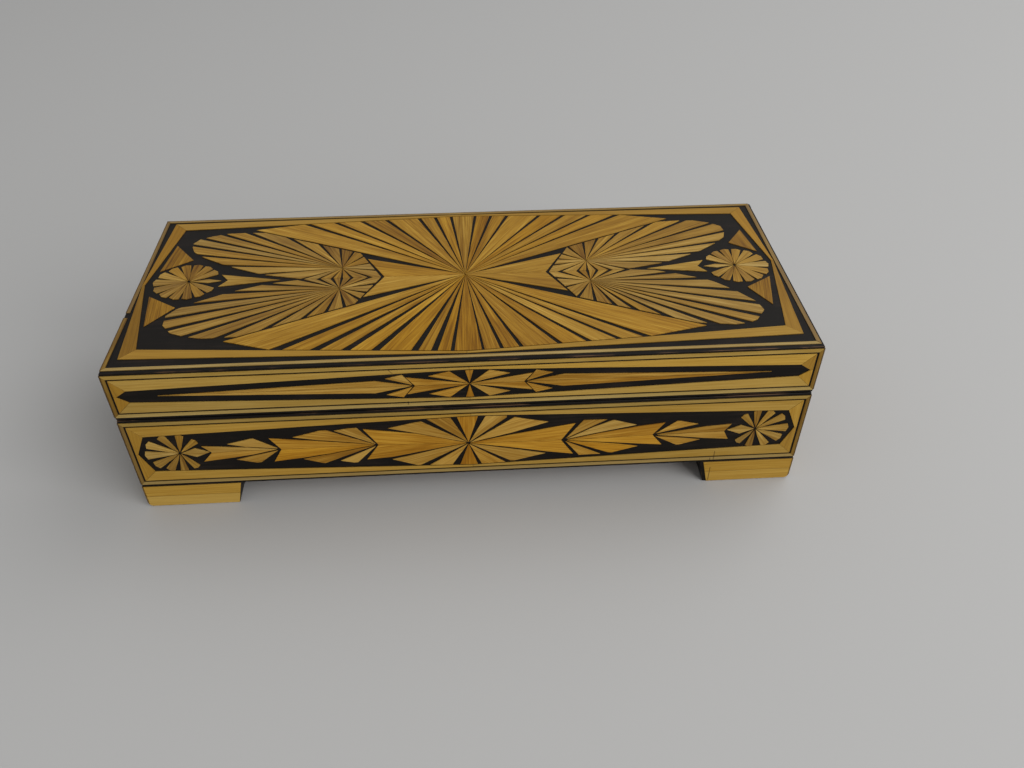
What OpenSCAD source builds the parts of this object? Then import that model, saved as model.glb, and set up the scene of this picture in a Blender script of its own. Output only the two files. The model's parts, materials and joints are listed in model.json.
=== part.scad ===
/* [Box] */
// Outside length of the box, straw included
box_len = 200; // [190:1:215]
// Outside depth of the box, front to back, straw included
box_dep = 81; // [76:0.5:90]
// Height of the body's walls
body_h = 26.9; // [25:0.1:31]
// Height of the lid, with its top straw
lid_h = 17; // [16:0.1:21]
// Dark gap between the body and the closed lid
seam_gap = 0.4; // [0.3:0.05:0.6]
// Thickness of the four walls and of the lid's four rails
wall_t = 5; // [4.6:0.1:6.5]
// Thickness of the bottom board and of the lid's top board
board_t = 3; // [2:0.1:4]
// Depth of the rebates that take the side walls and the boards
rebate_d = 2.5; // [1.5:0.1:3]
// Thickness of the split and flattened straw
straw_t = 0.25; // [0.15:0.05:0.4]

/* [Feet] */
// Height of the feet
foot_h = 8.7; // [5:0.1:14]
// Length of a foot along the front
foot_len = 29.5; // [20:0.5:36]
// Depth of a foot, front to back
foot_dep = 12; // [8:0.5:20]
// How much shorter a foot is at the floor, at its inner end
foot_slope = 2; // [0:0.1:4]
// Radius worn on the outer lower corner of a foot
foot_round = 1.4; // [0.5:0.1:2.5]
// Bare end that the straw leaves on the front right foot
bare_end = 1.2; // [0.1:0.1:2]

/* [Hinges] */
// Distance of each hinge's middle from the end of the box
hinge_in = 38; // [25:1:55]
// Length of a hinge
hinge_len = 18; // [14:0.5:24]
// Outside radius of the knuckle
knuckle_r = 1.25; // [1.1:0.05:1.4]
// Radius of the hinge pin
pin_r = 0.6; // [0.4:0.05:0.7]
// Running clearance of the pin in its knuckles
pin_clear = 0.05; // [0.03:0.01:0.1]
// Thickness of a leaf
leaf_t = 0.6; // [0.4:0.05:0.8]
// Distance of the hinge line inside the back face
axis_in = 1.9; // [1.7:0.05:2.2]
// Slope of the two back bevels that stop the lid, from level
bevel_angle = 51.5; // [46:0.5:54]
// Distance of each bevel from the hinge line
bevel_clear = 0.15; // [0.15:0.01:0.25]
// Radius of a hinge nail's shank
nail_r = 0.35; // [0.25:0.05:0.45]
// Length of a hinge nail
nail_len = 4; // [3:0.5:6]

/* [Straw border] */
// Width of the thin straw line that frames each face
line_w = 1.2; // [0.8:0.1:1.6]
// Black margin outside that line, along the long edges
edge_margin = 0.9; // [0.5:0.1:1.3]
// Black line between the thin line and the border
line_gap = 0.5; // [0.3:0.1:0.8]
// Width of the border at a face's corners
border_w = 3.8; // [3:0.1:4.4]
// Width of the border at the middle of a side
border_mid = 0.7; // [0.5:0.1:1.2]
// Width of the border at the corners of the top
top_border_w = 4; // [3.2:0.1:4.6]
// Width of the border at the middles of the top's sides
top_border_mid = 0.7; // [0.5:0.1:1.2]
// Black line between the border and the pieces that run up to it
field_gap = 0.3; // [0.2:0.05:0.6]
// Seam between two straws that touch
seam = 0.06; // [0.04:0.01:0.1]

/* [Top pattern] */
// How far the pattern's axis lies behind the middle of the lid
top_axis = 2; // [0:0.1:2.5]
// How much the hand-laid pattern climbs from right to left, at each end
top_climb = 0.5; // [0:0.1:0.8]
// How far left the border of the top was laid
border_left = 0.4; // [0:0.1:0.8]
// How much further back its right-hand point lies than the left-hand one
border_back = 2.1; // [0:0.1:3]
// Radius left open where the rays of a sunburst meet
ray_start = 0.45; // [0.4:0.05:1]
// Black gap between two rays of the sunburst, near its middle line
ray_gap = 0.9; // [0.5:0.05:1.3]
// How far left the outermost gaps at the front were laid
front_skew = 1.4; // [0:0.1:1.8]
// How much wider the gaps were left in the front left quarter
wide_quarter = 1.75; // [1:0.05:1.9]
// Black gap between two pieces of a back fan, at their tips
fan_gap = 1.3; // [0.7:0.05:1.7]
// How much wider the gaps of the front fans are
front_fan_gap = 1.3; // [1:0.05:1.5]
// Number of petals in a rosette on the top
top_petals = 14; // [10:2:16]
// Radius of a rosette on the top
top_rosette_r = 9.4; // [8:0.1:10]
// Middle of the place where the left edge line is broken out, from the lid's middle
chip_y = -13.6; // [-25:0.1:-5]
// Length of that place
chip_len = 2.6; // [0.5:0.1:3]

/* [Front pattern] */
// Radius of a rosette on the front
front_rosette_r = 7.3; // [6:0.1:7.5]

/* [Hidden] */
$fn = 48;

// Wood sizes, inside the straw
wood_x = box_len / 2 - straw_t;
wood_y = box_dep / 2 - straw_t;
inner_x = wood_x - wall_t;
inner_y = wood_y - wall_t;

// Levels, from the floor up
body_rim = foot_h + body_h;
hinge_z = body_rim + seam_gap / 2;
lid_rim = body_rim + seam_gap;
box_top = lid_rim + lid_h;
lid_wood_top = box_top - straw_t;

// Hinges and hinge line, and how far down the back face the bevel comes
hinge_x = box_len / 2 - hinge_in;
hinge_y = box_dep / 2 - axis_in;
bevel_start = bevel_clear / cos(bevel_angle);
back_drop = bevel_start + axis_in * tan(bevel_angle) - seam_gap / 2;
knuckle_room = 0.3;
knuckle_gap = 0.3;
leaf_back = 0.25;
leaf_w = hinge_y - inner_y - leaf_back;
leaf_room = 0.1;
nail_in = leaf_w / 2 + knuckle_r / 2;
nail_head_r = 1.9 * nail_r;
nail_clear = 0.04;
nail_pitch = hinge_len / 2;

// Colours
black_stain = [0.09, 0.08, 0.08];
bare_wood = [0.72, 0.56, 0.36];
straw_gold = [0.70, 0.53, 0.24];
straw_amber = [0.68, 0.45, 0.17];
straw_pale = [0.76, 0.62, 0.33];
brass = [0.72, 0.57, 0.28];

// Half sizes of the fields that the patterns are drawn for, at their inner corners
top_drawn = [91.9, 32];
body_drawn = [94.2, 6.95];
lid_drawn = [94.2, 2];
end_drawn_x = 34.7;
least_area = 0.05;
least_edge = 0.03;

function unit(a) = [cos(a), sin(a)];
function turn_of(p, a, b) = (b.x - a.x) * (p.y - a.y) - (b.y - a.y) * (p.x - a.x);
function heading(a, b) = atan2(b.y - a.y, b.x - a.x);
function toward(a, b, d) = a + d * (b - a) / norm(b - a);
function area_of(pts) = len(pts) < 3 ? 0 : abs([for (i = [0:len(pts) - 1])
    let (p = pts[i], q = pts[(i + 1) % len(pts)]) p.x * q.y - q.x * p.y] * [for (p = pts) 1]) / 2;
function tidy(pts) = [for (i = [0:1:len(pts) - 1])
    if (norm(pts[i] - pts[(i + 1) % len(pts)]) > least_edge) pts[i]];

// The part of a polygon to the left of the line from a to b
function clip_side(pts, a, b) = [for (i = [0:1:len(pts) - 1])
    let (p = pts[i], q = pts[(i + 1) % len(pts)], sp = turn_of(p, a, b), sq = turn_of(q, a, b))
    each concat(sp >= 0 ? [p] : [], sp * sq < 0 ? [p + sp / (sp - sq) * (q - p)] : [])];
// The part of a polygon inside a convex region that runs anticlockwise
function clip(pts, region, i = 0) = i == len(region) || len(pts) < 3 ? pts
    : clip(clip_side(pts, region[i], region[(i + 1) % len(region)]), region, i + 1);
// A convex region that runs anticlockwise, with each side moved in by d
function inset(region, d) = [for (i = [0:len(region) - 1])
    let (n = len(region), o = region[(i + n - 1) % n], p = region[i], q = region[(i + 1) % n],
        u = (p - o) / norm(p - o), v = (q - p) / norm(q - p),
        bis = [-u.y - v.y, u.x + v.x])
    p + 2 * d * bis / (bis * bis)];
// A wedge from near c out to radius r, between two angles
function ray(c, a1, a2, r) = [c + ray_start * unit(a1), c + r * unit(a1),
    c + r * unit(a2), c + ray_start * unit(a2)];
function flip_x(pts) = [for (i = [len(pts) - 1:-1:0]) [-pts[i].x, pts[i].y]];
function flip_y(pts) = [for (i = [len(pts) - 1:-1:0]) [pts[i].x, -pts[i].y]];

// One piece of straw, lying on z = 0 and cut from a flat outline
module straw(pts) {
    cut = tidy(pts);
    if (area_of(cut) > least_area)
        linear_extrude(straw_t) polygon(cut);
}

module on_top() {
    translate([0, 0, lid_wood_top]) children();
}
// Each side face is drawn from outside: x to the right, y up from the level z
module on_front(z) {
    translate([0, -wood_y, z]) rotate([90, 0, 0]) children();
}
module on_back(z) {
    translate([0, wood_y, z]) rotate([90, 0, 180]) children();
}
module on_right(z) {
    translate([wood_x, 0, z]) rotate([90, 0, 90]) children();
}
module on_left(z) {
    translate([-wood_x, 0, z]) rotate([90, 0, -90]) children();
}

// A front or back wall that stands on z = 0, with rebates for the end walls and the board
module long_wall(h) {
    difference() {
        translate([-wood_x, -wood_y, 0]) cube([2 * wood_x, wall_t, h]);
        for (s = [0, 1])
            mirror([s, 0, 0])
                translate([inner_x, -inner_y - rebate_d, -1])
                    cube([wall_t + 1, rebate_d + 1, h + 2]);
        translate([-inner_x - rebate_d, -inner_y - rebate_d, -1])
            cube([2 * (inner_x + rebate_d), rebate_d + 1, board_t + 1]);
    }
}

// A left or right wall that stands on z = 0 between the long walls' rebates
module end_wall(h) {
    difference() {
        translate([-wood_x, -inner_y - rebate_d, 0])
            cube([wall_t, 2 * (inner_y + rebate_d), h]);
        translate([-inner_x - rebate_d, -inner_y - rebate_d - 1, -1])
            cube([rebate_d + 1, 2 * (inner_y + rebate_d + 1), board_t + 1]);
    }
}

// The board that the walls' rebates take
module board() {
    translate([-inner_x - rebate_d, -inner_y - rebate_d, 0])
        cube([2 * (inner_x + rebate_d), 2 * (inner_y + rebate_d), board_t]);
}

module at_body() {
    translate([0, 0, foot_h]) children();
}
// The lid is the same construction, upside down
module at_lid() {
    translate([0, 0, lid_wood_top]) mirror([0, 0, 1]) children();
}
rail_h = lid_h - straw_t;

// The bevel along the top of the body's back, through wood and straw
module bevel() {
    far = 3;
    slope = tan(bevel_angle);
    low = -far * slope - bevel_start;
    translate([-box_len, hinge_y, hinge_z]) rotate([90, 0, 90])
        linear_extrude(2 * box_len)
            polygon([[-1, slope - bevel_start], [far, low], [far, far], [-1, far]]);
}

// What is cut from the top of the body's back wall: bevel, knuckle groove, leaf beds, nail holes
module body_hinge_cuts() {
    bevel();
    for (x = [-hinge_x, hinge_x]) translate([x, hinge_y, 0]) {
        translate([-hinge_len / 2 - leaf_room, 0, hinge_z]) rotate([0, 90, 0])
            cylinder(r = knuckle_r + knuckle_room, h = hinge_len + 2 * leaf_room);
        translate([-hinge_len / 2 - leaf_room, -leaf_w - leaf_room, body_rim - leaf_t])
            cube([hinge_len + 2 * leaf_room, leaf_w + leaf_room, leaf_t + 1]);
        for (s = [-1, 1]) translate([s * nail_pitch / 2, -nail_in, body_rim - nail_len - nail_clear])
            cylinder(r = nail_r + nail_clear, h = nail_len);
    }
}

// Turns something made for the body's side of the hinge line into the lid's side
module lid_side() {
    translate([0, 0, 2 * hinge_z]) mirror([0, 0, 1]) children();
}

module body_front_wall() {
    color(black_stain) at_body() long_wall(body_h);
}
module body_back_wall() {
    color(black_stain) difference() {
        at_body() mirror([0, 1, 0]) long_wall(body_h);
        body_hinge_cuts();
    }
}
module body_left_wall() {
    color(black_stain) at_body() end_wall(body_h);
}
module body_right_wall() {
    color(black_stain) at_body() mirror([1, 0, 0]) end_wall(body_h);
}
module bottom_board() {
    color(bare_wood) at_body() board();
}
module lid_front_rail() {
    color(black_stain) at_lid() long_wall(rail_h);
}
module lid_back_rail() {
    color(black_stain) difference() {
        at_lid() mirror([0, 1, 0]) long_wall(rail_h);
        lid_side() body_hinge_cuts();
    }
}
module lid_left_rail() {
    color(black_stain) at_lid() end_wall(rail_h);
}
module lid_right_rail() {
    color(black_stain) at_lid() mirror([1, 0, 0]) end_wall(rail_h);
}
module lid_top_board() {
    color(black_stain) at_lid() board();
}

// Outline of a front left foot seen from the front, worn round at its outer lower corner
function foot_outline(low, short = 0) = concat(
    [[-wood_x, foot_h]],
    [for (a = [180:15:270]) [-wood_x + foot_round, low + foot_round] + foot_round * unit(a)],
    [[-wood_x + foot_len - foot_slope - short, low], [-wood_x + foot_len - short, foot_h]]);
facing_lift = 0.15;
flush_end = 0.1;

module foot() {
    color(black_stain) translate([0, -wood_y + foot_dep, 0]) rotate([90, 0, 0])
        linear_extrude(foot_dep) polygon(foot_outline(0));
}
module foot_front_left() {
    foot();
}
module foot_front_right() {
    mirror([1, 0, 0]) foot();
}
module foot_back_left() {
    mirror([0, 1, 0]) foot();
}
module foot_back_right() {
    mirror([1, 0, 0]) mirror([0, 1, 0]) foot();
}

// Two straws side by side on the long face of a foot, and two on its outer end
module one_foot_facing(short) {
    half = foot_h / 2;
    bands = [[facing_lift, half - seam / 2], [half + seam / 2, foot_h - facing_lift]];
    for (b = bands) {
        window = [[-box_len, b[0]], [box_len, b[0]], [box_len, b[1]], [-box_len, b[1]]];
        on_front(0) straw(clip(foot_outline(facing_lift, short), window));
        end_low = max(b[0], foot_round);
        on_left(0) straw([[wood_y - foot_dep, end_low], [wood_y, end_low],
            [wood_y, b[1]], [wood_y - foot_dep, b[1]]]);
    }
}
module foot_facings() {
    color(straw_gold) for (mx = [0, 1], my = [0, 1])
        mirror([mx, 0, 0]) mirror([0, my, 0]) one_foot_facing(mx == my ? flush_end : bare_end);
}

// Barrels along a hinge: the body's leaf has the two outer ones and the lid's leaf the middle one
barrel_l = hinge_len / 3;

module barrel_along(x0, x1, r) {
    translate([x0, 0, 0]) rotate([0, 90, 0]) cylinder(r = r, h = x1 - x0);
}

module leaf(own, other) {
    color(brass) translate([0, hinge_y, hinge_z]) difference() {
        union() {
            translate([-hinge_len / 2, -leaf_w, -seam_gap / 2 - leaf_t])
                cube([hinge_len, leaf_w, leaf_t]);
            for (b = own) barrel_along(b[0], b[1], knuckle_r);
        }
        for (b = other)
            barrel_along(b[0] - knuckle_gap, b[1] + knuckle_gap, knuckle_r + knuckle_gap);
        barrel_along(-hinge_len, hinge_len, pin_r + pin_clear);
        for (s = [-1, 1]) translate([s * nail_pitch / 2, -nail_in, 0]) {
            translate([0, 0, -seam_gap / 2 - leaf_t - 1])
                cylinder(r = nail_r + nail_clear, h = leaf_t + 2);
            translate([0, 0, -seam_gap / 2 - leaf_t])
                cylinder(r1 = nail_r + nail_clear, r2 = nail_head_r + nail_clear, h = leaf_t + 0.001);
        }
    }
}

outer_barrels = [[-hinge_len / 2, -barrel_l / 2 - knuckle_gap],
    [barrel_l / 2 + knuckle_gap, hinge_len / 2]];
middle_barrel = [[-barrel_l / 2, barrel_l / 2]];
// What the lid's leaf keeps clear of, past both ends of the hinge
outer_room = [[-hinge_len, -barrel_l / 2 - knuckle_gap],
    [barrel_l / 2 + knuckle_gap, hinge_len]];

module body_leaf() {
    leaf(outer_barrels, middle_barrel);
}
module lid_leaf() {
    lid_side() leaf(middle_barrel, outer_room);
}
module hinge_pin() {
    color(brass) translate([0, hinge_y, hinge_z])
        barrel_along(-hinge_len / 2, hinge_len / 2, pin_r);
}
module hinge_nails() {
    color(brass) for (x = [-hinge_x, hinge_x], s = [-1, 1])
        translate([x + s * nail_pitch / 2, hinge_y - nail_in, body_rim - nail_len]) {
            cylinder(r = nail_r, h = nail_len - leaf_t);
            translate([0, 0, nail_len - leaf_t])
                cylinder(r1 = nail_r, r2 = nail_head_r, h = leaf_t);
        }
}

module hinge_left_body_leaf() {
    translate([-hinge_x, 0, 0]) body_leaf();
}
module hinge_left_lid_leaf() {
    translate([-hinge_x, 0, 0]) lid_leaf();
}
module hinge_left_pin() {
    translate([-hinge_x, 0, 0]) hinge_pin();
}
module hinge_right_body_leaf() {
    translate([hinge_x, 0, 0]) body_leaf();
}
module hinge_right_lid_leaf() {
    translate([hinge_x, 0, 0]) lid_leaf();
}
module hinge_right_pin() {
    translate([hinge_x, 0, 0]) hinge_pin();
}
module hinge_body_nails() {
    hinge_nails();
}
module hinge_lid_nails() {
    lid_side() hinge_nails();
}

// The thin line round a face, mitred at its corners, between two rectangles
module edge_lines(x0, y0, x1, y1, w) {
    o = [[x0, y0], [x1, y0], [x1, y1], [x0, y1]];
    n = [[x0 + w, y0 + w], [x1 - w, y0 + w], [x1 - w, y1 - w], [x0 + w, y1 - w]];
    for (i = [0:3]) strip(o[i], o[(i + 1) % 4], n[(i + 1) % 4], n[i]);
}

// One straw of a border, from its outer edge a to b and its inner edge d to c
module strip(a, b, c, d) {
    s = seam / 2;
    straw([toward(a, b, s), toward(b, a, s), toward(c, d, s), toward(d, c, s)]);
}

// Eight points, anticlockwise: four corners, and the middles of the sides bowed outwards
function bowed(corner_x, low, high, mid_x, mid_low, mid_high, axis) = [
    [mid_x, axis], [corner_x, high], [0, mid_high], [-corner_x, high],
    [-mid_x, axis], [-corner_x, low], [0, mid_low], [corner_x, low]];

module border(outer, inner) {
    for (i = [0:7]) strip(outer[i], outer[(i + 1) % 8], inner[(i + 1) % 8], inner[i]);
}

// A side face that reaches from 0 to h, half as long as half
function side_outer(half, h) = let (x = half - line_w - line_gap - seam,
    y = edge_margin + line_w + line_gap)
    bowed(x, y, h - y, x, y, h - y, h / 2);
function side_field(half, h) = let (x = half - line_w - line_gap - seam,
    y = edge_margin + line_w + line_gap)
    bowed(x - border_w, y + border_w, h - y - border_w, x - border_mid,
        y + border_mid, h - y - border_mid, h / 2);

module side_border(half, h) {
    color(straw_gold) {
        edge_lines(-half, edge_margin, half, h - edge_margin, line_w);
        border(side_outer(half, h), side_field(half, h));
    }
}

// Lays pieces on a field. They are drawn about its middle, for a field with the corner drawn.
module laid_out(pieces, field, drawn) {
    room = inset(field, field_gap);
    corner = field[1];
    middle = [0, field[0].y];
    scale_by = [corner.x / drawn.x, (corner.y - middle.y) / drawn.y];
    for (p = pieces)
        straw(clip([for (q = p) [q.x * scale_by.x, q.y * scale_by.y] + middle], room));
}
// Pieces of one quarter spread over all four, and a ray that stands above and below the middle
function quartered(pieces) =
    [for (p = pieces, half = [p, flip_y(p)], all = [half, flip_x(half)]) all];
function both_ways(ray) = [ray, flip_y(ray)];

// Moves a piece's point that lies on the axis off it, so that two halves leave a seam
hair = seam / 2;

// The sunburst of an end: the upright ray, two leaves and half a tongue
body_ray = [[0, 0.3], [2.7, 12], [-2.7, 12]];
body_burst = [
    [[0.18, 0.3], [7.6, 6.5], [12, 12], [4.7, 12]],
    [[0.35, 0.22], [23.4, 6.4], [13.9, 8.9]],
    [[0.45, hair], [26.8, hair], [31, 6], [0.6, 0.12]]];

// The body's front as it was cut and laid by hand, with no two quarters quite alike: the upright
// rays, and then each side drawn outwards from the middle. A side has the burst's leaves and
// tongue, and two flights of leaves behind the notches in the tongues. The pieces come in pairs,
// first the one above the axis and then the one below, and the halves of a tongue touch.
front_rays = [[[-1, -0.45], [2.7, 12], [-4.8, 12]], [[-1, -1.15], [-4.6, -12], [2.2, -12]]];
notches_right = [[26.6, -1.3], [54.1, -0.7], [75.9, -0.5]];
front_right = [
    [[-0.75, -0.45], [10.4, 8.8], [10.4, 12], [5.4, 12]],
    [[-0.75, -1.4], [3.8, -12], [9.6, -12], [9.6, -9.1]],
    [[-0.5, -0.6], [12, 2.7], [22.6, 6.3], [14, 8.3], [12.6, 8.7]],
    [[-0.5, -1.15], [11.4, -8.8], [12.6, -8.9], [22, -6.4], [14, -4.5]],
    [[-0.4, hair - 0.8], notches_right[0] + [0, hair], [30.7, 5.3], [12, 1.85]],
    [[-0.4, -hair - 0.9], [12, -3.4], [22, -5.6], [30.4, -7.1], notches_right[0] - [0, hair]],
    [[28, -0.7], [40, 6.25], [33, 6.35]],
    [[28, -1.9], [32.3, -7.8], [38.8, -7.7]],
    [[28.3, -0.9], [38, 1.3], [49, 3.6], [42.2, 5.85], [41.5, 5.8], [36, 3.4]],
    [[28.4, -1.65], [41.2, -7.2], [42.3, -7.3], [50, -5.1], [44, -3.85], [36, -2.65]],
    [[28.6, hair - 1.25], notches_right[1] + [0, hair], [57.6, 4.05], [50, 3.05], [38, 0.9]],
    [[28.6, -hair - 1.35], [38, -2.55], [50, -4.05], [57.3, -4.85], notches_right[1] - [0, hair]],
    [[55.1, -0.2], [67.6, 2.9], [62, 4.4], [61.1, 4.45]],
    [[55.2, -1.4], [61.8, -5.2], [62.8, -5.2], [68.9, -3.4], [60, -1.95]],
    [[55.6, hair - 0.7], notches_right[2] + [0, hair], [77.8, 2.35], [70, 1.75]],
    [[55.6, -hair - 0.8], [62, -1.75], [70, -2.9], [77.5, -3.65], notches_right[2] - [0, hair]]];
notches_left = [[27.6, 0], [56, -0.2], [76.2, -0.3]];
front_left = [
    [[1.2, -0.4], [13, 9.4], [12.6, 12], [7.2, 12]],
    [[1.2, -1.1], [7.6, -12], [12.6, -12], [12.6, -9]],
    [[1.5, -0.45], [12, 2.75], [24.3, 6.35], [16.3, 8.2], [14.5, 8.4]],
    [[1.6, -1], [16, -9.3], [17, -9], [24, -6.25], [16, -4.3], [10, -2.75]],
    [[1.7, hair - 0.75], notches_left[0] + [0, hair], [31.5, 6.4], [16, 3.7], [8, 1.3]],
    [[1.7, -hair - 0.75], [10, -2.3], [24, -5.2], [31.5, -5.8], notches_left[0] - [0, hair]],
    [[28.4, 0.4], [39.9, 6.3], [35.5, 7], [33.3, 7]],
    [[28.4, -0.5], [34.3, -6.8], [35.5, -6.85], [39.4, -5.9]],
    [[28.7, 0.2], [36, 1.6], [45, 2.9], [52, 4.4], [44.2, 6.5], [42.2, 6.55]],
    [[28.8, -0.3], [44, -6.6], [45.2, -6.3], [50.2, -4.5], [42, -2.95]],
    [[28.9, hair], notches_left[1] + [0, hair], [58.9, 4.35], [48, 2.9], [36, 1.2]],
    [[28.9, -hair], [42, -2.65], [50, -3.9], [58.8, -5], notches_left[1] - [0, hair]],
    [[57, 0.3], [66, 1.45], [71.2, 2.8], [64.2, 4.5], [63.4, 4.5]],
    [[57, -0.5], [62.6, -5], [64, -5.1], [69.6, -3.5], [64, -2.15]],
    [[57.4, hair - 0.1], notches_left[2] + [0, hair], [78.7, 2.4], [66, 1.15]],
    [[57.4, -hair - 0.1], [64, -1.7], [70, -2.65], [79.2, -3.8], notches_left[2] - [0, hair]]];
body_front = concat(front_rays, front_right, [for (p = front_left) flip_x(p)]);

// A quarter of the lid's front and back, which are lower
lid_ray = [[0, 0.3], [1.5, 6], [-1.5, 6]];
lid_burst = [
    [[0.4, 0.25], [11.4, 3.1], [5.6, 4.5]],
    [[0.45, hair], [15.3, hair], [17.7, 2.9], [0.6, 0.12]],
    [[16, 0.35], [23.4, 2.8], [18.7, 3.9]]];
lid_band = [[16.2, hair], [86, hair], [26.5, 2.1]];
lid_end_band = [[16.2, hair], [32, hair], [24, 1.9]];

// A rosette round c on the right (m = 1) or the left: a lozenge that points to the middle of the
// face, blade degrees wide to either side at its waist, and petals at turns from the outward
// direction. Each petal is touch degrees wide to either side as far as its neck and then narrows
// to wide, and the outward ones are longer.
module rosette(c, r, stretch, turns, lozenge, waist, blade, neck, touch, wide, m, room) {
    to = m > 0 ? 180 : 0;
    blunt = 0.96;
    straw(clip([c + ray_start * unit(to), c + waist * unit(to - blade),
        c + lozenge * unit(to), c + waist * unit(to + blade)], room));
    for (turn = turns) {
        a = to + 180 + m * turn;
        tip = r + stretch * pow(cos(turn / 2), 8);
        straw(clip([c + ray_start * unit(a), c + neck * unit(a - touch), c + blunt * tip * unit(a - wide),
            c + tip * unit(a), c + blunt * tip * unit(a + wide), c + neck * unit(a + touch)], room));
    }
}

rosette_in = 8.9;
front_stretch = 2.9;
front_lozenge = 8.6;
front_waist = 4.9;
front_blade = 21;
front_neck = 2.6;
front_touch = 12;
front_wide = 9.5;
front_turns_left = [-122, -88, -57, -30, -2, 24, 59, 101, 139];
front_turns_right = [-132, -97, -58, -27, 0, 30, 60, 93, 127];

module end_rosettes(half, h) {
    field = side_field(half, h);
    room = inset(field, field_gap / 2);
    x = field[1].x - rosette_in;
    color(straw_pale) for (m = [-1, 1])
        rosette([m * x, h / 2], front_rosette_r, front_stretch,
            m > 0 ? front_turns_right : front_turns_left,
            front_lozenge, front_waist, front_blade, front_neck, front_touch, front_wide,
            m, room);
}

module body_spray(half, h) {
    color(straw_amber) laid_out(body_front, side_field(half, h), body_drawn);
}
module body_end_spray(half, h) {
    color(straw_amber) laid_out(concat(quartered(body_burst), both_ways(body_ray)),
        side_field(half, h), [end_drawn_x, body_drawn.y]);
}
module lid_spray(half, h) {
    color(straw_amber) laid_out(concat(quartered(concat(lid_burst, [lid_band])),
        both_ways(lid_ray)), side_field(half, h), lid_drawn);
}
module lid_end_spray(half, h) {
    color(straw_amber) laid_out(concat(quartered(concat(lid_burst, [lid_end_band])),
        both_ways(lid_ray)), side_field(half, h), [end_drawn_x, lid_drawn.y]);
}

// The back faces stop at the bevels that open along the hinge line
back_body_h = body_h - back_drop;
back_lid_h = lid_h - back_drop;
lid_back_z = lid_rim + back_drop;
// The straw of the ends is cut along the same bevels
module body_end() {
    difference() {
        children();
        bevel();
    }
}
module lid_end() {
    difference() {
        children();
        lid_side() bevel();
    }
}

module lid_front_border() {
    on_front(lid_rim) side_border(wood_x, lid_h);
}
module lid_front_spray() {
    on_front(lid_rim) lid_spray(wood_x, lid_h);
}
module lid_back_border() {
    on_back(lid_back_z) side_border(wood_x, back_lid_h);
}
module lid_back_spray() {
    on_back(lid_back_z) lid_spray(wood_x, back_lid_h);
}
module lid_left_border() {
    lid_end() on_left(lid_rim) side_border(wood_y, lid_h);
}
module lid_left_spray() {
    on_left(lid_rim) lid_end_spray(wood_y, lid_h);
}
module lid_right_border() {
    lid_end() on_right(lid_rim) side_border(wood_y, lid_h);
}
module lid_right_spray() {
    on_right(lid_rim) lid_end_spray(wood_y, lid_h);
}
module body_front_border() {
    on_front(foot_h) side_border(wood_x, body_h);
}
module body_front_spray() {
    on_front(foot_h) body_spray(wood_x, body_h);
}
module body_front_rosettes() {
    on_front(foot_h) end_rosettes(wood_x, body_h);
}
module body_back_border() {
    on_back(foot_h) side_border(wood_x, back_body_h);
}
module body_back_spray() {
    on_back(foot_h) body_spray(wood_x, back_body_h);
}
module body_back_rosettes() {
    on_back(foot_h) end_rosettes(wood_x, back_body_h);
}
module body_left_border() {
    body_end() on_left(foot_h) side_border(wood_y, body_h);
}
module body_left_spray() {
    on_left(foot_h) body_end_spray(wood_y, body_h);
}
module body_right_border() {
    body_end() on_right(foot_h) side_border(wood_y, body_h);
}
module body_right_spray() {
    on_right(foot_h) body_end_spray(wood_y, body_h);
}

// The edge line is laid a little off the middle: flush at the left and the back
top_front_margin = 1.25;
top_right_margin = 0.6;
// Distances of the border from the wood's edges at the sides, the front and the back:
// first at the corners of the face, then at the middles of its sides
corner_in = [3.9, 6.1, 2.3];
middle_in = [line_w + seam + border_left, top_front_margin + line_w + 1.4 * line_gap,
    line_w + line_gap];
all_round = [1, 1, 1];
function top_ring(c, m) = laid(bowed(wood_x - c.x, -wood_y + c.y, wood_y - c.z,
    wood_x - m.x, -wood_y + m.y, wood_y - m.z, top_axis));
// As it was laid by hand: a little to the left, and its right-hand point further back
function laid(ring) = [for (i = [0:7]) ring[i] + [-border_left, i == 0 ? border_back : 0]];
top_border_outer = top_ring(corner_in, middle_in);
top_field = top_ring(corner_in + top_border_w * all_round, middle_in + top_border_mid * all_round);
top_room = inset(top_field, field_gap);

// A point drawn on the top, for the right (m = 1) or the left (m = -1) and the back (s = 1) or front
top_scale = [(top_field[1].x - top_field[3].x) / 2 / top_drawn.x,
    (top_field[1].y - top_field[7].y) / 2 / top_drawn.y];
function on_pattern(p, m = 1, s = 1) = [m * p.x * top_scale.x,
    top_axis + s * p.y * top_scale.y - m * top_climb * p.x / top_drawn.x];
// Points drawn anticlockwise, kept that way in any quarter
function in_quarter(pts, m, s) = let (q = [for (p = pts) on_pattern(p, m, s)])
    m * s > 0 ? q : [for (i = [len(q) - 1:-1:0]) q[i]];

module top_edge_lines() {
    x1 = wood_x - top_right_margin;
    y0 = -wood_y + top_front_margin;
    color(straw_gold) on_top() difference() {
        edge_lines(-wood_x, y0, x1, wood_y, line_w);
        translate([-wood_x - 1, chip_y - chip_len / 2, -1])
            cube([line_w + 1 + seam, chip_len, straw_t + 2]);
    }
}
module top_border() {
    color(straw_gold) on_top() border(top_border_outer, top_field);
}

// Where the black lines of the sunburst meet the field's edge, from the middle outwards
sun_stops = [4.1, 9.5, 15, 26, 34.3, 43, 52.4];
sun_tip = [68.8, 30.2];
dart_tip = [30.8, 10.4];
dart_apex = 25;
dart_start = 0.5;
sun_centre = [0, top_axis];

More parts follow.
